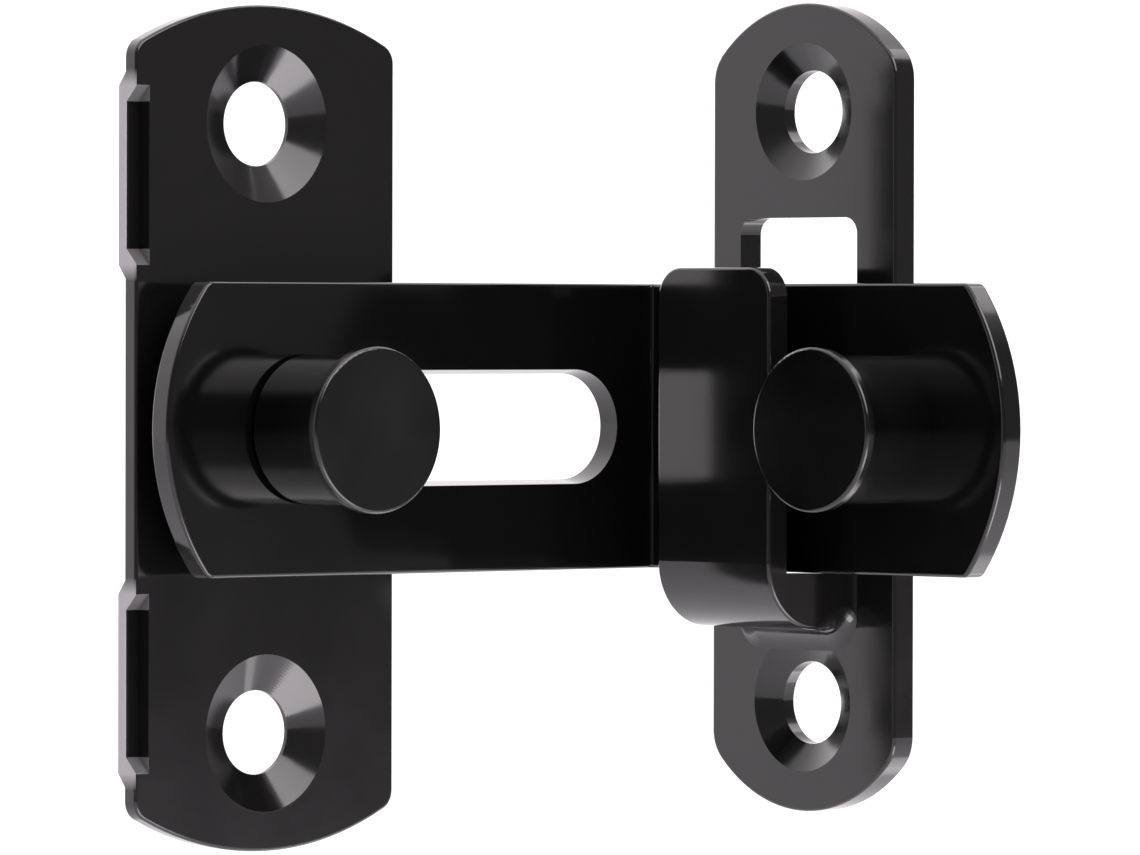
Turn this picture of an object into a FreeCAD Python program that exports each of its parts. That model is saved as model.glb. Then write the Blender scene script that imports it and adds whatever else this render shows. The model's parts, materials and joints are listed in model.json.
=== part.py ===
import FreeCAD, Part
import math
import os

# Right-angle flip latch, in millimetres.
# Z is up. The base plate faces -Y and is screwed to a surface at Y = 0.
# The keeper plate stands at a right angle to it and faces -X.
# The origin is on the pivot post's axis, midway between the base plate's screw holes.

V = FreeCAD.Vector

EDGE_ROUND = 0.2            # broken edge of every stamped or turned piece
SCREW_HOLE_R = 2.5
RUN = 0.1                   # clearance between pieces that turn or slide on each other
REST = 0.02                 # clearance where the bar rests on the hook
OVERRUN = 1.0               # how far a cutting tool runs past a face
FLAT = 1e-3                 # spans under this count as none

# base plate: thin sheet that stands off the door on pressed-back edges
BASE_WIDTH = 20.0
BASE_HEIGHT = 50.0
BASE_END_R = 21.0
BASE_CORNER_R = 1.2
BASE_SHEET = 0.95
BASE_REAR = -0.75           # Y of the sheet's back face
BASE_FRONT = BASE_REAR - BASE_SHEET
BASE_SCREW_Z = 18.0
BASE_SINK_R = 4.65
BASE_SINK_DEPTH = 1.0
DIMPLE_ROOT_R = 4.4         # swelling behind each screw hole
DIMPLE_R = 3.2
DIMPLE_RISE = 0.32
FOOT_WIDTH = 1.0
FOOT_LAP = 0.8              # how far the foot's root reaches under the flat sheet
FOOT_LOW_Z = 9.6
FOOT_HIGH_Z = 20.1
FOOT_RAMP = 0.95
FOOT_ROUND = 0.15
LIP_WIDTH = 0.95
LIP_HALF_LENGTH = 20.0

# pivot post and the washer behind the bar
NECK_R = 2.8
TAIL_R = 2.0
PEEN_R = 3.3
PEEN_THICK = 0.65
HEAD_PLAY = 0.4             # between the bar and the pivot knob
WASHER_R = 5.0
WASHER_BORE_R = 2.87

# knob heads: a drum with a slightly wider rim
KNOB_R = 4.4
RIM_R = 4.87
RIM_THICK = 0.8
PIVOT_KNOB_HEIGHT = 6.1
HANDLE_KNOB_HEIGHT = 5.7

# bar, bent to a right angle
BAR_THICK = 1.5
BAR_HALF_HEIGHT = 8.65
BAR_REAR = -3.8             # Y of the slotted leg's back face
BAR_FRONT = BAR_REAR - BAR_THICK
BAR_END_X = -10.6
BAR_END_R = 13.4
BAR_CORNER_R = 0.7
BEND_INSIDE_R = 0.25
BEND_OUTSIDE_R = BEND_INSIDE_R + BAR_THICK
LEG_FRONT = 27.8            # X of the hooked leg's face
LEG_REAR = LEG_FRONT + BAR_THICK
LEG_END = 35.4              # reach of the hooked leg towards -Y
SLOT_HALF_WIDTH = 3.2       # at the back; punching leaves it wider at the front
SLOT_FLARE = 0.25
SLOT_START = -0.7           # X of the centre of the slot's left end, a little past the post
SLOT_END = 21.7             # and of its right end
HANDLE_REACH = 24.95        # distance of the handle knob along the hooked leg

# keeper plate and its hook
KEEPER_FRONT = 31.0         # X of its face
KEEPER_SHEET = 1.7
KEEPER_REAR = KEEPER_FRONT + KEEPER_SHEET
KEEPER_CENTRE = 15.2        # distance of its centre line along the hooked leg
KEEPER_CENTRE_Z = 1.2
KEEPER_WIDTH = 15.8
KEEPER_HEIGHT = 48.8
KEEPER_END_R = 10.2
KEEPER_CORNER_R = 2.5
KEEPER_SCREW_Z = 17.85      # above and below the keeper's own centre
KEEPER_SINK_R = 4.15
KEEPER_SINK_DEPTH = 0.85
WINDOW_TOP = 12.65
WINDOW_CORNER_R = 1.0
WINDOW_SIDE_GAP = 0.2       # between the window and the hook, each side
HOOK_NEAR = 9.95            # the hook's two sides, along the hooked leg
HOOK_FAR = 19.65
HOOK_FRONT = 23.9           # X of the hook's face
HOOK_SHEET = 1.5            # drawn a little thinner than the plate
HOOK_TOP = 9.6
HOOK_TOP_CORNER_R = 1.8
HOOK_UNDERSIDE = -12.05
HOOK_BEND_R = 4.0
FOOT_CORNER_R = 2.0         # lower corners of the hook's foot at the plate
ROOT_R = 1.5                # hollow sweep by which the foot runs into the plate: its depth,
ROOT_DROP = 1.4             # how far it falls below the foot
ROOT_SPREAD = 0.25          # and how far it widens on each side
ROOT_END_ANGLE = math.radians(75)
ROOT_STEPS = 4
HOOK_RIM = -BAR_HALF_HEIGHT - REST  # Z of the side walls that carry the bar


def box(low, high):
    size = V(*high) - V(*low)
    return Part.makeBox(size.x, size.y, size.z, V(*low))


def drum(radius, y_low, y_high, x=0.0, z=0.0):
    return Part.makeCylinder(radius, y_high - y_low, V(x, y_low, z), V(0, 1, 0))


def turned_to_leg(shape):
    """Turn a shape that faces -Y so that it faces -X, its +X side towards -Y."""
    turned = shape.copy()
    turned.rotate(V(0, 0, 0), V(0, 0, 1), -90)
    return turned


def prism(points, direction):
    wire = Part.makePolygon([V(*p) for p in points + points[:1]])
    return Part.Face(wire).extrude(V(*direction))


def edges_at(shape, test):
    return [edge for edge in shape.Edges if test(edge.BoundBox)]


def round_corners(shape, radius):
    """Round the edges of a flat blank that run through its thickness."""
    through = edges_at(shape, lambda b: b.XLength < FLAT and b.ZLength < FLAT)
    return shape.makeFillet(radius, through)


def round_faces(shape, levels, radius=EDGE_ROUND):
    """Round every edge that lies in a plane Y = level."""
    flat = edges_at(shape, lambda b: any(
        abs(b.YMin - y) < FLAT and abs(b.YMax - y) < FLAT for y in levels))
    return shape.makeFillet(radius, flat)


def arc_sag(radius, half_chord):
    return radius - math.sqrt(radius ** 2 - half_chord ** 2)


def plate_blank(x_mid, z_mid, width, height, end_radius, corner_radius, y_front, y_rear):
    """Flat plate facing -Y whose top and bottom ends are arcs."""
    half_w = width / 2
    half_h = height / 2
    shoulder = half_h - arc_sag(end_radius, half_w)

    def at(x, z):
        return V(x_mid + x, y_front, z_mid + z)

    outline = Part.Wire([
        Part.Arc(at(-half_w, shoulder), at(0, half_h), at(half_w, shoulder)).toShape(),
        Part.LineSegment(at(half_w, shoulder), at(half_w, -shoulder)).toShape(),
        Part.Arc(at(half_w, -shoulder), at(0, -half_h), at(-half_w, -shoulder)).toShape(),
        Part.LineSegment(at(-half_w, -shoulder), at(-half_w, shoulder)).toShape(),
    ])
    blank = Part.Face(outline).extrude(V(0, y_rear - y_front, 0))
    return round_corners(blank, corner_radius)


def bar_blank(x_tip, x_root, y_front, y_rear):
    """One leg of the bar, facing -Y, with an arc at its tip."""
    inward = 1 if x_root > x_tip else -1
    x_shoulder = x_tip + inward * arc_sag(BAR_END_R, BAR_HALF_HEIGHT)
    low = -BAR_HALF_HEIGHT
    high = BAR_HALF_HEIGHT

    def at(x, z):
        return V(x, y_front, z)

    outline = Part.Wire([
        Part.LineSegment(at(x_root, low), at(x_shoulder, low)).toShape(),
        Part.Arc(at(x_shoulder, low), at(x_tip, 0), at(x_shoulder, high)).toShape(),
        Part.LineSegment(at(x_shoulder, high), at(x_root, high)).toShape(),
        Part.LineSegment(at(x_root, high), at(x_root, low)).toShape(),
    ])
    blank = Part.Face(outline).extrude(V(0, y_rear - y_front, 0))
    tip_edges = edges_at(blank, lambda b: b.XLength < FLAT and b.ZLength < FLAT
                         and abs(b.XMin - x_shoulder) < FLAT)
    return blank.makeFillet(BAR_CORNER_R, tip_edges)


def countersink(x, z, y_face, sink_radius, depth, y_rear):
    """Tool that cuts a countersunk screw hole in a plate facing -Y."""
    slope = (sink_radius - SCREW_HOLE_R) / depth
    mouth = Part.makeCone(sink_radius + slope * OVERRUN, SCREW_HOLE_R, depth + OVERRUN,
                          V(x, y_face - OVERRUN, z), V(0, 1, 0))
    return mouth.fuse(drum(SCREW_HOLE_R, y_face, y_rear + OVERRUN, x, z))


def foot(z_low, z_high):
    """Pocket to cut and foot to add where the left edge is pressed back."""
    left = -BASE_WIDTH / 2
    pocket = prism([
        (left - OVERRUN, BASE_FRONT - OVERRUN, z_low),
        (left - OVERRUN, BASE_FRONT, z_low),
        (left - OVERRUN, BASE_REAR, z_low + FOOT_RAMP),
        (left - OVERRUN, BASE_REAR, z_high - FOOT_RAMP),
        (left - OVERRUN, BASE_FRONT, z_high),
        (left - OVERRUN, BASE_FRONT - OVERRUN, z_high),
    ], (FOOT_WIDTH + OVERRUN, 0, 0))
    pad = prism([
        (left, BASE_REAR, z_low - FOOT_RAMP),
        (left, 0, z_low),
        (left, 0, z_high),
        (left, BASE_REAR, z_high + FOOT_RAMP),
    ], (FOOT_WIDTH + FOOT_LAP, 0, 0))
    outer = edges_at(pad, lambda b: b.XMax < left + FLAT and b.YMax > -FLAT)
    return pocket, pad.makeFillet(FOOT_ROUND, outer)


def base_plate():
    plate = plate_blank(0, 0, BASE_WIDTH, BASE_HEIGHT, BASE_END_R, BASE_CORNER_R, BASE_FRONT, BASE_REAR)
    plate = round_faces(plate, [BASE_FRONT])
    for z_low, z_high in ((FOOT_LOW_Z, FOOT_HIGH_Z), (-FOOT_HIGH_Z, -FOOT_LOW_Z)):
        pocket, pad = foot(z_low, z_high)
        plate = plate.cut(pocket).fuse(pad)
    lip = box((BASE_WIDTH / 2 - LIP_WIDTH, BASE_REAR, -LIP_HALF_LENGTH),
              (BASE_WIDTH / 2, 0, LIP_HALF_LENGTH))
    plate = plate.fuse(lip)
    for z in (BASE_SCREW_Z, -BASE_SCREW_Z):
        dimple = Part.makeCone(DIMPLE_ROOT_R, DIMPLE_R, DIMPLE_RISE, V(0, BASE_REAR, z), V(0, 1, 0))
        plate = plate.fuse(dimple)
        plate = plate.cut(countersink(0, z, BASE_FRONT, BASE_SINK_R, BASE_SINK_DEPTH, 0))
    return plate.cut(drum(TAIL_R, BASE_FRONT - OVERRUN, OVERRUN)).removeSplitter()


def knob(y_base, height):
    """Turned head facing -Y, with its wide rim at the outer end."""
    y_top = y_base - height
    rim = drum(RIM_R, y_top, y_top + RIM_THICK)
    rim = rim.makeFillet(EDGE_ROUND, edges_at(rim, lambda b: b.YLength < FLAT))
    return rim.fuse(drum(KNOB_R, y_top + RIM_THICK / 2, y_base))


def peened_tail(y_start, y_seat):
    """Riveted end of a knob's stem: it fills its hole and is spread behind it."""
    flare = drum(PEEN_R, y_seat, y_seat + PEEN_THICK)
    outer = edges_at(flare, lambda b: b.YLength < FLAT and b.YMin > y_seat + PEEN_THICK / 2)
    return drum(TAIL_R, y_start, y_seat).fuse(flare.makeFillet(EDGE_ROUND, outer))


def pivot_post():
    head_seat = BAR_FRONT - HEAD_PLAY
    post = knob(head_seat, PIVOT_KNOB_HEIGHT)
    post = post.fuse(drum(NECK_R, head_seat, BASE_FRONT))
    return post.fuse(peened_tail(BASE_FRONT, BASE_REAR)).removeSplitter()


def handle_knob():
    head = knob(LEG_FRONT, HANDLE_KNOB_HEIGHT).fuse(peened_tail(LEG_FRONT, LEG_REAR))
    head = head.removeSplitter()
    head.translate(V(HANDLE_REACH, 0, 0))
    return turned_to_leg(head)


def spacer_washer():
    y_front = BAR_REAR + RUN
    y_rear = BASE_FRONT - RUN
    ring = drum(WASHER_R, y_front, y_rear)
    ring = round_faces(ring, [y_front, y_rear])
    return ring.cut(drum(WASHER_BORE_R, y_front - OVERRUN, y_rear + OVERRUN))


def bar_bend():
    """Quarter ring that joins the two legs."""
    centre = V(LEG_FRONT - BEND_INSIDE_R, BAR_FRONT - BEND_INSIDE_R, -BAR_HALF_HEIGHT)
    height = 2 * BAR_HALF_HEIGHT
    outer = Part.makeCylinder(BEND_OUTSIDE_R, height, centre, V(0, 0, 1), 90)
    inner = Part.makeCylinder(BEND_INSIDE_R, height, centre, V(0, 0, 1), 90)
    return outer.cut(inner)


def is_bar_rim(edge):
    """True for the edges between a leg's broad faces and its narrow ones."""
    spans = [edge.BoundBox.XLength, edge.BoundBox.YLength, edge.BoundBox.ZLength]
    along = [span for span in spans if span > FLAT]
    upright = spans[0] < FLAT and spans[1] < FLAT
    crosses_sheet = len(along) == 1 and abs(along[0] - BAR_THICK) < FLAT
    return not upright and not crosses_sheet


def slot_section(y, half_width):
    """Outline of the slot at one depth. Its right-hand end stays in place whatever the width."""
    far = SLOT_END + SLOT_HALF_WIDTH - half_width
    near = SLOT_START

    def at(x, z):
        return V(x, y, z)

    return Part.Wire([
        Part.LineSegment(at(near, half_width), at(far, half_width)).toShape(),
        Part.Arc(at(far, half_width), at(far + half_width, 0), at(far, -half_width)).toShape(),
        Part.LineSegment(at(far, -half_width), at(near, -half_width)).toShape(),
        Part.Arc(at(near, -half_width), at(near - half_width, 0), at(near, half_width)).toShape(),
    ])


def slot_tool():
    """Tool that punches the slot through the bar's first leg."""
    slope = SLOT_FLARE / BAR_THICK
    return Part.makeLoft([
        slot_section(BAR_FRONT - OVERRUN, SLOT_HALF_WIDTH + slope * (BAR_THICK + OVERRUN)),
        slot_section(BAR_REAR, SLOT_HALF_WIDTH),
        slot_section(BAR_REAR + OVERRUN, SLOT_HALF_WIDTH),
    ], True, True)


def slide_bar():
    root = BEND_INSIDE_R - BAR_FRONT
    first_leg = bar_blank(BAR_END_X, LEG_FRONT - BEND_INSIDE_R, BAR_FRONT, BAR_REAR)
    second_leg = turned_to_leg(bar_blank(LEG_END, root, LEG_FRONT, LEG_REAR))
    bar = first_leg.fuse(bar_bend()).fuse(second_leg).removeSplitter()
    bar = bar.makeFillet(EDGE_ROUND, [edge for edge in bar.Edges if is_bar_rim(edge)])
    stem_hole = drum(TAIL_R, LEG_FRONT - OVERRUN, LEG_REAR + OVERRUN, HANDLE_REACH)
    return bar.cut(slot_tool()).cut(turned_to_leg(stem_hole))


def hook_strap():
    """Upright strap of the hook with its bend, facing -Y."""
    inner = HOOK_FRONT + HOOK_SHEET
    bend_end = HOOK_FRONT + HOOK_BEND_R
    bend_z = HOOK_UNDERSIDE + HOOK_BEND_R
    diagonal = HOOK_BEND_R * math.sqrt(0.5)

    def at(y, z):
        return V(HOOK_NEAR, y, z)

    bend_mid = at(bend_end - diagonal, bend_z - diagonal)
    bend = Part.Arc(at(HOOK_FRONT, bend_z), bend_mid, at(bend_end, HOOK_UNDERSIDE)).toShape()
    rest = Part.makePolygon([
        at(bend_end, HOOK_UNDERSIDE),
        at(bend_end, HOOK_RIM),
        at(inner, HOOK_RIM),
        at(inner, HOOK_TOP),
        at(HOOK_FRONT, HOOK_TOP),
        at(HOOK_FRONT, bend_z),
    ])
    strap = Part.Face(Part.Wire([bend] + rest.Edges)).extrude(V(HOOK_FAR - HOOK_NEAR, 0, 0))
    top_corners = edges_at(strap, lambda b: b.YLength > FLAT and b.XLength < FLAT
                           and b.ZMin > HOOK_TOP - FLAT)
    strap = strap.makeFillet(HOOK_TOP_CORNER_R, top_corners)
    face_rim = edges_at(strap, lambda b: b.YMin < HOOK_FRONT + FLAT
                        and (b.XLength < FLAT or b.ZMin > bend_z) and b.YMax < bend_end + FLAT
                        and (b.YLength < FLAT or b.ZMax < bend_z + FLAT))
    return strap.makeFillet(EDGE_ROUND, face_rim)


def foot_section(y, corner, spread=0.0, drop=0.0):
    """Outline of the hook's foot at one depth, its two lower corners rounded."""
    left = HOOK_NEAR - spread
    right = HOOK_FAR + spread
    low = HOOK_UNDERSIDE - drop
    diagonal = corner * (1 - math.sqrt(0.5))

    def at(x, z):
        return V(x, y, z)

    def corner_arc(start, middle, end):
        return Part.Arc(at(*start), at(*middle), at(*end)).toShape()

    return Part.Wire([
        Part.LineSegment(at(left, HOOK_RIM), at(left, low + corner)).toShape(),
        corner_arc((left, low + corner), (left + diagonal, low + diagonal), (left + corner, low)),
        Part.LineSegment(at(left + corner, low), at(right - corner, low)).toShape(),
        corner_arc((right - corner, low), (right - diagonal, low + diagonal), (right, low + corner)),
        Part.LineSegment(at(right, low + corner), at(right, HOOK_RIM)).toShape(),
        Part.LineSegment(at(right, HOOK_RIM), at(left, HOOK_RIM)).toShape(),
    ])


def hook_foot():
    """Drawn block between the bend and the plate; its lower corners grow rounder towards the plate."""
    return Part.makeLoft([
        foot_section(HOOK_FRONT + HOOK_BEND_R, EDGE_ROUND),
        foot_section(KEEPER_FRONT, FOOT_CORNER_R),
    ], True, True)


def hook_root():
    """Hollow sweep by which the foot runs into the plate, ending in a crease."""
    y_start = KEEPER_FRONT - ROOT_R
    length = KEEPER_FRONT - HOOK_FRONT - HOOK_BEND_R
    sections = []
    for step in range(ROOT_STEPS + 1):
        angle = ROOT_END_ANGLE * step / ROOT_STEPS
        rise = (1 - math.cos(angle)) / (1 - math.cos(ROOT_END_ANGLE))
        y = y_start + ROOT_R * math.sin(angle) / math.sin(ROOT_END_ANGLE)
        corner = FOOT_CORNER_R - (FOOT_CORNER_R - EDGE_ROUND) * (KEEPER_FRONT - y) / length
        sections.append(foot_section(y, corner, ROOT_SPREAD * rise, ROOT_DROP * rise))
    sweep = Part.makeLoft(sections, True, False)
    rim = Part.Face(sections[-1]).extrude(V(0, KEEPER_SHEET / 2, 0))
    return sweep, rim


def hook_hollow():
    """Space inside the drawn foot, open to the bar above and to the window behind."""
    inner = HOOK_FRONT + HOOK_SHEET
    floor = HOOK_UNDERSIDE + HOOK_SHEET
    hollow = box((HOOK_NEAR + HOOK_SHEET, inner, floor),
                 (HOOK_FAR - HOOK_SHEET, KEEPER_REAR + OVERRUN, HOOK_RIM + OVERRUN))
    front_low = edges_at(hollow, lambda b: b.XLength > FLAT and b.YMax < inner + FLAT
                         and b.ZMax < floor + FLAT)
    return hollow.makeFillet(HOOK_BEND_R - HOOK_SHEET, front_low)


def keeper_plate():
    plate = plate_blank(KEEPER_CENTRE, KEEPER_CENTRE_Z, KEEPER_WIDTH, KEEPER_HEIGHT,
                        KEEPER_END_R, KEEPER_CORNER_R, KEEPER_FRONT, KEEPER_REAR)
    plate = round_faces(plate, [KEEPER_FRONT, KEEPER_REAR])
    for z in (KEEPER_SCREW_Z, -KEEPER_SCREW_Z):
        plate = plate.cut(countersink(KEEPER_CENTRE, KEEPER_CENTRE_Z + z, KEEPER_FRONT,
                                      KEEPER_SINK_R, KEEPER_SINK_DEPTH, KEEPER_REAR))
    window = box((HOOK_NEAR - WINDOW_SIDE_GAP, KEEPER_FRONT - OVERRUN, HOOK_RIM),
                 (HOOK_FAR + WINDOW_SIDE_GAP, KEEPER_REAR + OVERRUN, WINDOW_TOP))
    top_corners = edges_at(window, lambda b: b.YLength > FLAT and b.ZMin > WINDOW_TOP - FLAT
                           and b.XLength < FLAT)
    window = window.makeFillet(WINDOW_CORNER_R, top_corners)
    plate = plate.cut(window)
    for piece in (hook_foot(), *hook_root(), hook_strap()):
        plate = plate.fuse(piece)
    return turned_to_leg(plate.cut(hook_hollow()).removeSplitter())


def save(name, shape):
    if not shape.isValid() or len(shape.Solids) != 1:
        raise RuntimeError(f"{name} is not one valid solid")
    shape.Solids[0].exportStep(f"parts/{name}.step")
    print(name, [round(v, 2) for v in (
        shape.BoundBox.XMin, shape.BoundBox.XMax, shape.BoundBox.YMin,
        shape.BoundBox.YMax, shape.BoundBox.ZMin, shape.BoundBox.ZMax)])


os.makedirs("parts", exist_ok=True)
save("base_plate", base_plate())
save("pivot_post", pivot_post())
save("spacer_washer", spacer_washer())
save("slide_bar", slide_bar())
save("handle_knob", handle_knob())
save("keeper_plate", keeper_plate())
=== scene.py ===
import json
import math

import bpy
from mathutils import Matrix, Vector


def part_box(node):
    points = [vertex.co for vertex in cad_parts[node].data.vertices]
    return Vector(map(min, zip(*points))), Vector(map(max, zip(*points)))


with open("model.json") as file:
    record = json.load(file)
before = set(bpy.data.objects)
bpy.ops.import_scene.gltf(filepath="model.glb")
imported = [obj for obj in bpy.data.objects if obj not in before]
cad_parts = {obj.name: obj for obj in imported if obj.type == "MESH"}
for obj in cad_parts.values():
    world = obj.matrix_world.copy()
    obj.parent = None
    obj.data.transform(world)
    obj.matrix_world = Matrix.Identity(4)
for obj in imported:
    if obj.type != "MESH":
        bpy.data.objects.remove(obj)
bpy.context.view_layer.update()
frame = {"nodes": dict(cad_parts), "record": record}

MM = 0.001

# camera: long lens, level with the latch, looking into its corner
CAMERA_AZIMUTH = -42.5
CAMERA_ELEVATION = 0.7
CAMERA_ROLL = 0.11
CAMERA_DISTANCE = 500 * MM
CAMERA_RIGHT = 19.08 * MM
CAMERA_UP = 0.04 * MM
LENS = 266.6
SENSOR = 36.0
CLIP_NEAR = 10 * MM
CLIP_FAR = 20.0

FLOOR_Z = -200 * MM
FLOOR_HALF = 2.0
FLOOR_COLOR = (0.84, 0.84, 0.85, 1)
FLOOR_ROUGHNESS = 0.7

# studio brightness by direction: degrees round from +Y towards +X, radiance
SURROUND = (
    (-180, 0.20),
    (-95, 0.25),
    (-60, 1.2),
    (-42, 1.6),
    (0, 3.0),
    (50, 1.8),
    (80, 0.6),
    (100, 0.25),
    (125, 0.22),
    (150, 0.26),
    (172, 0.20),
)
SURROUND_TOP = 2.2
SURROUND_TINT = (1.0, 0.955, 0.985)
BACKGROUND = 1.3
RADIANCE_MAX = 4.0
CAP_START = 0.45            # height of the view direction where the top begins to show
CAP_END = 0.9

MIX_FIRST = 6               # a colour mix node's two colour sockets
MIX_SECOND = 7

# softboxes: direction from the origin, distance, width and height, radiance
SOFTBOXES = {
    "upper": ((0.06, -0.77, 0.62), 600 * MM, (520 * MM, 380 * MM), 5.2),
    "lower": ((0.10, -0.79, -0.58), 290 * MM, (230 * MM, 150 * MM), 7.0),
    "upper right": ((0.68, -0.18, 0.72), 400 * MM, (150 * MM, 150 * MM), 2.4),
    "lower right": ((0.68, -0.18, -0.72), 180 * MM, (70 * MM, 70 * MM), 2.4),
}

# black coatings: base colour, roughness at its least and most
PLATE = {"color": (0.0036, 0.0034, 0.0036), "smooth": 0.09, "worn": 0.15}
BAR = {"color": (0.0018, 0.0017, 0.0018), "smooth": 0.09, "worn": 0.14}
KNOB = {"color": (0.0010, 0.0010, 0.0010), "smooth": 0.16, "worn": 0.24}
WASHER = {"color": (0.006, 0.006, 0.006), "smooth": 0.30, "worn": 0.45}
COATING_IOR = 1.5
DUST_COLOR = (0.10, 0.097, 0.10)
DUST_SHARE = 0.02
ORANGE_PEEL = 900           # noise scales, in lumps per metre
SPECKLE = 6000
WEAR = 160
WEAR_DETAIL = 6.0
WEAR_RANGE = (0.35, 0.7)    # noise values from the smoothest coating to the most worn
DUST_RANGE = (0.62, 0.78)   # and from clean to dusty
BUMP_STRENGTH = 0.06
BUMP_DISTANCE = 0.02 * MM

# turning marks in the countersinks and on the knobs' faces
SINK_R = 4.75 * MM
EDGE_SOFT = 0.01 * MM       # over which a mask fades
TURNED_PITCH = 0.16 * MM
TURNED_DEPTH = 0.2          # of the orange peel's height

# painted highlight on the base plate's pressed-back feet: paler colour on their left faces and
# end ramps stands in for reflected light
FOOT_X = -9.93 * MM
RAMP_X = -8.98 * MM
FOOT_LOW = 9.6 * MM
FOOT_HIGH = 20.1 * MM
FOOT_RAMP = 0.95 * MM
FOOT_PAINTED_HIGHLIGHT = (0.27, 0.262, 0.27)
RAMP_PAINTED_HIGHLIGHT = (0.085, 0.082, 0.085)


def node_tree(owner):
    owner.use_nodes = True
    return owner.node_tree.nodes, owner.node_tree.links


def make_camera():
    azimuth = math.radians(CAMERA_AZIMUTH)
    elevation = math.radians(CAMERA_ELEVATION)
    roll = math.radians(CAMERA_ROLL)
    back = Vector((math.sin(azimuth) * math.cos(elevation),
                   -math.cos(azimuth) * math.cos(elevation),
                   math.sin(elevation)))
    level = Vector((math.cos(azimuth), math.sin(azimuth), 0))
    plumb = back.cross(level)
    right = level * math.cos(roll) + plumb * math.sin(roll)
    up = plumb * math.cos(roll) - level * math.sin(roll)
    place = back * CAMERA_DISTANCE + right * CAMERA_RIGHT + up * CAMERA_UP
    data = bpy.data.cameras.new("camera")
    data.lens = LENS
    data.sensor_width = SENSOR
    data.clip_start = CLIP_NEAR
    data.clip_end = CLIP_FAR
    camera = bpy.data.objects.new("camera", data)
    bpy.context.scene.collection.objects.link(camera)
    camera.matrix_world = Matrix((
        (right.x, up.x, back.x, place.x),
        (right.y, up.y, back.y, place.y),
        (right.z, up.z, back.z, place.z),
        (0, 0, 0, 1),
    ))
    bpy.context.scene.camera = camera


def surround_color(radiance):
    return tuple(radiance / RADIANCE_MAX * part for part in SURROUND_TINT) + (1,)


def make_world():
    """White behind, dim in front and to the right, white to the camera everywhere."""
    world = bpy.data.worlds.new("studio")
    bpy.context.scene.world = world
    nodes, links = node_tree(world)
    nodes.clear()
    coords = nodes.new("ShaderNodeTexCoord")
    split = nodes.new("ShaderNodeSeparateXYZ")
    links.new(coords.outputs["Generated"], split.inputs[0])
    around = nodes.new("ShaderNodeMath")
    around.operation = "ARCTAN2"
    links.new(split.outputs["X"], around.inputs[0])
    links.new(split.outputs["Y"], around.inputs[1])
    turn = nodes.new("ShaderNodeMapRange")
    turn.inputs["From Min"].default_value = -math.pi
    turn.inputs["From Max"].default_value = math.pi
    links.new(around.outputs[0], turn.inputs["Value"])
    ramp = nodes.new("ShaderNodeValToRGB")
    ramp.color_ramp.interpolation = "EASE"
    links.new(turn.outputs["Result"], ramp.inputs["Fac"])
    elements = ramp.color_ramp.elements
    elements.remove(elements[-1])
    elements[0].color = surround_color(SURROUND[0][1])
    for degrees, radiance in SURROUND[1:]:
        elements.new((degrees + 180) / 360).color = surround_color(radiance)
    height = nodes.new("ShaderNodeMath")
    height.operation = "ABSOLUTE"
    links.new(split.outputs["Z"], height.inputs[0])
    cap = nodes.new("ShaderNodeMapRange")
    cap.interpolation_type = "SMOOTHSTEP"
    cap.inputs["From Min"].default_value = CAP_START
    cap.inputs["From Max"].default_value = CAP_END
    links.new(height.outputs[0], cap.inputs["Value"])
    top = nodes.new("ShaderNodeMix")
    top.data_type = "RGBA"
    links.new(cap.outputs["Result"], top.inputs["Factor"])
    links.new(ramp.outputs["Color"], top.inputs[MIX_FIRST])
    top.inputs[MIX_SECOND].default_value = surround_color(SURROUND_TOP)
    surround = nodes.new("ShaderNodeBackground")
    surround.inputs["Strength"].default_value = RADIANCE_MAX
    links.new(top.outputs[2], surround.inputs["Color"])
    backdrop = nodes.new("ShaderNodeBackground")
    backdrop.inputs["Color"].default_value = (1, 1, 1, 1)
    backdrop.inputs["Strength"].default_value = BACKGROUND
    path = nodes.new("ShaderNodeLightPath")
    choose = nodes.new("ShaderNodeMixShader")
    links.new(path.outputs["Is Camera Ray"], choose.inputs["Fac"])
    links.new(surround.outputs[0], choose.inputs[1])
    links.new(backdrop.outputs[0], choose.inputs[2])
    output = nodes.new("ShaderNodeOutputWorld")
    links.new(choose.outputs[0], output.inputs["Surface"])


def make_softbox(name, aim, distance, size, radiance):
    data = bpy.data.lights.new(name, "AREA")
    data.shape = "RECTANGLE"
    data.size, data.size_y = size
    data.energy = radiance * math.pi * size[0] * size[1]
    data.color = SURROUND_TINT
    light = bpy.data.objects.new(name, data)
    bpy.context.scene.collection.objects.link(light)
    direction = Vector(aim).normalized()
    light.location = direction * distance
    light.rotation_euler = direction.to_track_quat("Z", "Y").to_euler()
    light.visible_camera = False


def make_floor():
    corners = [(-FLOOR_HALF, -FLOOR_HALF), (FLOOR_HALF, -FLOOR_HALF),
               (FLOOR_HALF, FLOOR_HALF), (-FLOOR_HALF, FLOOR_HALF)]
    mesh = bpy.data.meshes.new("floor")
    mesh.from_pydata([(x, y, FLOOR_Z) for x, y in corners], [], [(0, 1, 2, 3)])
    floor = bpy.data.objects.new("floor", mesh)
    bpy.context.scene.collection.objects.link(floor)
    material = bpy.data.materials.new("floor")
    shader = node_tree(material)[0]["Principled BSDF"]
    shader.inputs["Base Color"].default_value = FLOOR_COLOR
    shader.inputs["Roughness"].default_value = FLOOR_ROUGHNESS
    mesh.materials.append(material)


def noise(nodes, links, coords, scale, detail=2.0):
    texture = nodes.new("ShaderNodeTexNoise")
    texture.inputs["Scale"].default_value = scale
    texture.inputs["Detail"].default_value = detail
    links.new(coords.outputs["Object"], texture.inputs["Vector"])
    return texture.outputs["Fac"]


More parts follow.
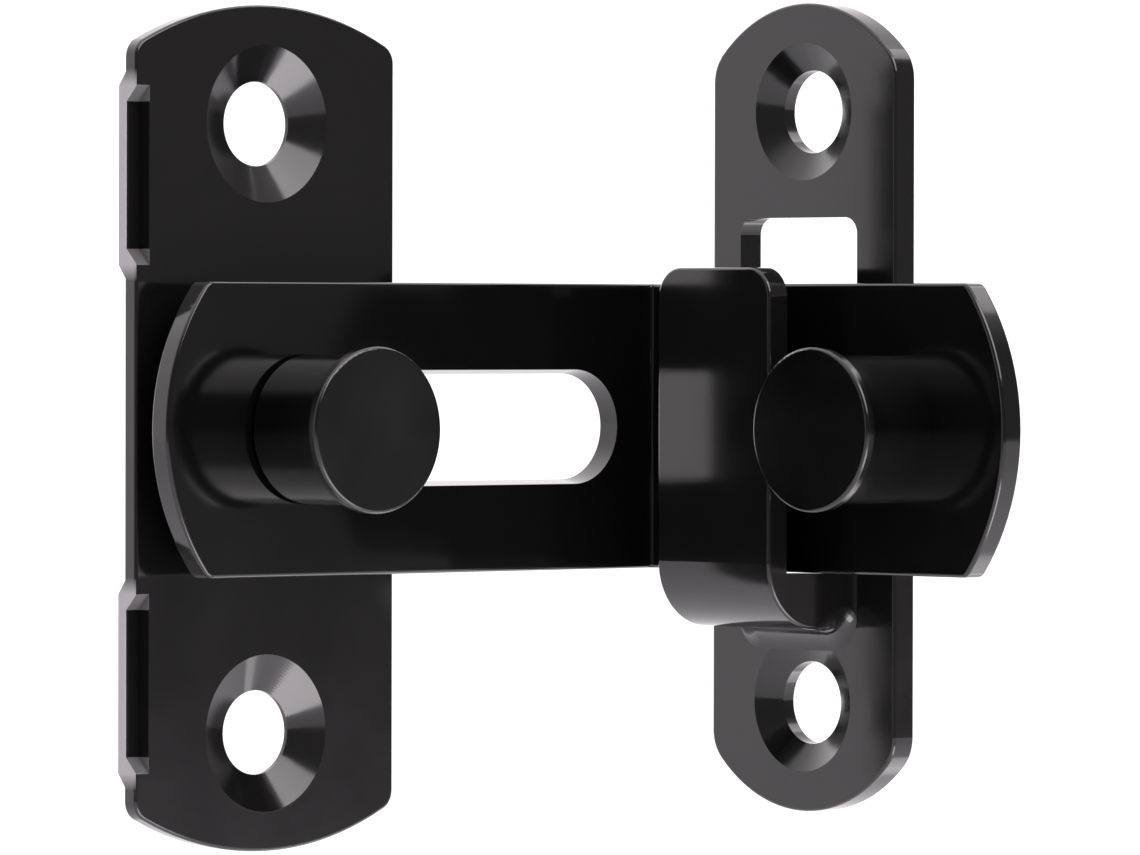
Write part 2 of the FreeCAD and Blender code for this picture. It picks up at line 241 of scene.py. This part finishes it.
def remap(nodes, links, value, low, high, out_low=0.0, out_high=1.0):
    """Map value from low..high to out_low..out_high, held at the ends."""
    node = nodes.new("ShaderNodeMapRange")
    node.inputs["From Min"].default_value = low
    node.inputs["From Max"].default_value = high
    node.inputs["To Min"].default_value = out_low
    node.inputs["To Max"].default_value = out_high
    links.new(value, node.inputs["Value"])
    return node.outputs["Result"]


def math_node(nodes, links, operation, first, second):
    node = nodes.new("ShaderNodeMath")
    node.operation = operation
    for slot, value in enumerate((first, second)):
        if isinstance(value, (int, float)):
            node.inputs[slot].default_value = value
        else:
            links.new(value, node.inputs[slot])
    return node.outputs[0]


def mix_color(nodes, links, share, first, second):
    node = nodes.new("ShaderNodeMix")
    node.data_type = "RGBA"
    links.new(share, node.inputs["Factor"])
    for slot, value in ((MIX_FIRST, first), (MIX_SECOND, second)):
        if isinstance(value, tuple):
            node.inputs[slot].default_value = value + (1,)
        else:
            links.new(value, node.inputs[slot])
    return node.outputs[2]


def radius_about(nodes, links, coords, axis, centre):
    """Distance from a line that runs along an axis through a point."""
    shifted = nodes.new("ShaderNodeVectorMath")
    shifted.operation = "SUBTRACT"
    shifted.inputs[1].default_value = centre
    links.new(coords.outputs["Object"], shifted.inputs[0])
    flat = nodes.new("ShaderNodeVectorMath")
    flat.operation = "MULTIPLY"
    flat.inputs[1].default_value = tuple(0.0 if letter == axis else 1.0 for letter in "XYZ")
    links.new(shifted.outputs[0], flat.inputs[0])
    length = nodes.new("ShaderNodeVectorMath")
    length.operation = "LENGTH"
    links.new(flat.outputs[0], length.inputs[0])
    return length.outputs["Value"]


def add_turning(nodes, links, coords, height, axis, centres, reach):
    """Height with fine rings added inside the reach of each centre."""
    for centre in centres:
        radius = radius_about(nodes, links, coords, axis, centre)
        phase = math_node(nodes, links, "MULTIPLY", radius, math.tau / TURNED_PITCH)
        wave = math_node(nodes, links, "SINE", phase, 0)
        inside = remap(nodes, links, radius, reach, reach + EDGE_SOFT, TURNED_DEPTH, 0.0)
        rings = math_node(nodes, links, "MULTIPLY", wave, inside)
        height = math_node(nodes, links, "ADD", height, rings)
    return height


def coating(name, color, smooth, worn, axis="Y", centres=(), reach=0.0):
    """Glossy black coat on steel: uneven gloss, orange peel, turning marks and a little dust."""
    material = bpy.data.materials.new(name)
    nodes, links = node_tree(material)
    shader = nodes["Principled BSDF"]
    coords = nodes.new("ShaderNodeTexCoord")
    patches = remap(nodes, links, noise(nodes, links, coords, WEAR, WEAR_DETAIL), *WEAR_RANGE)
    dust = remap(nodes, links, noise(nodes, links, coords, SPECKLE), *DUST_RANGE, 0.0, DUST_SHARE)
    links.new(mix_color(nodes, links, dust, color, DUST_COLOR), shader.inputs["Base Color"])
    links.new(remap(nodes, links, patches, 0.0, 1.0, smooth, worn), shader.inputs["Roughness"])
    shader.inputs["IOR"].default_value = COATING_IOR
    height = noise(nodes, links, coords, ORANGE_PEEL)
    height = add_turning(nodes, links, coords, height, axis, centres, reach)
    bump = nodes.new("ShaderNodeBump")
    bump.inputs["Strength"].default_value = BUMP_STRENGTH
    bump.inputs["Distance"].default_value = BUMP_DISTANCE
    links.new(height, bump.inputs["Height"])
    links.new(bump.outputs["Normal"], shader.inputs["Normal"])
    return material


def band(nodes, links, value, low, high, soft):
    """1 where value lies between low and high, falling to 0 over a soft margin outside."""
    rising = remap(nodes, links, value, low - soft, low)
    falling = remap(nodes, links, value, high, high + soft, 1.0, 0.0)
    return math_node(nodes, links, "MULTIPLY", rising, falling)


def paint_feet_highlight(material):
    """Painted highlight on the base plate's feet: paler colour on their left faces and end ramps
    in place of reflected light.
    """
    nodes, links = node_tree(material)
    shader = nodes["Principled BSDF"]
    coords = nodes.new("ShaderNodeTexCoord")
    split = nodes.new("ShaderNodeSeparateXYZ")
    links.new(coords.outputs["Object"], split.inputs[0])
    height = math_node(nodes, links, "ABSOLUTE", split.outputs["Z"], 0)
    side = math_node(nodes, links, "LESS_THAN", split.outputs["X"], FOOT_X)
    along = band(nodes, links, height, FOOT_LOW, FOOT_HIGH, FOOT_RAMP)
    face = math_node(nodes, links, "MULTIPLY", side, along)
    pocket = math_node(nodes, links, "LESS_THAN", split.outputs["X"], RAMP_X)
    ramps = [
        band(nodes, links, height, low + EDGE_SOFT, low + FOOT_RAMP - EDGE_SOFT, EDGE_SOFT)
        for low in (FOOT_LOW, FOOT_HIGH - FOOT_RAMP)
    ]
    ramp = math_node(nodes, links, "MULTIPLY", pocket, math_node(nodes, links, "ADD", *ramps))
    plain = shader.inputs["Base Color"].links[0].from_socket
    # painted highlight: paler colour mixed in on the end ramps, then on the left faces below
    ramp_highlighted = mix_color(nodes, links, ramp, plain, RAMP_PAINTED_HIGHLIGHT)
    links.new(mix_color(nodes, links, face, ramp_highlighted, FOOT_PAINTED_HIGHLIGHT), shader.inputs["Base Color"])


def hole_centres(mount):
    """Centres of a bolt pattern's two holes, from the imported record."""
    middle = Vector(mount["pos_m"])
    half = Vector((0, 0, mount["dims"]["spacing_y_mm"] * MM / 2))
    return [tuple(middle + half), tuple(middle - half)]


def middle_of(node):
    low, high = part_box(node)
    return tuple((low + high) / 2)


def node_materials():
    mounts = {mount["name"]: mount for mount in frame["record"]["mounts"]}

    def turned(name, look, axis, centres):
        return coating(name, **look, axis=axis, centres=centres, reach=SINK_R)

    base = turned("black plate", PLATE, "Y", hole_centres(mounts["base_screw_holes"]))
    # painted highlight on the base plate's feet
    paint_feet_highlight(base)
    keeper = turned("black keeper", PLATE, "X", hole_centres(mounts["keeper_screw_holes"]))
    return {
        "base_plate": base,
        "keeper_plate": keeper,
        "slide_bar": coating("black bar", **BAR),
        "pivot_post": turned("black pivot knob", KNOB, "Y", [middle_of("pivot_post")]),
        "handle_knob": turned("black handle knob", KNOB, "X", [middle_of("handle_knob")]),
        "spacer_washer": coating("black washer", **WASHER),
    }


def write_sizes():
    def plain(bounds):
        return [list(corner) for corner in bounds]


make_camera()
make_world()
for name, softbox in SOFTBOXES.items():
    make_softbox(name, *softbox)
make_floor()
bpy.context.scene.view_settings.view_transform = "Standard"
for name, material in node_materials().items():
    mesh = frame["nodes"][name].data
    mesh.materials.clear()
    mesh.materials.append(material)
write_sizes()
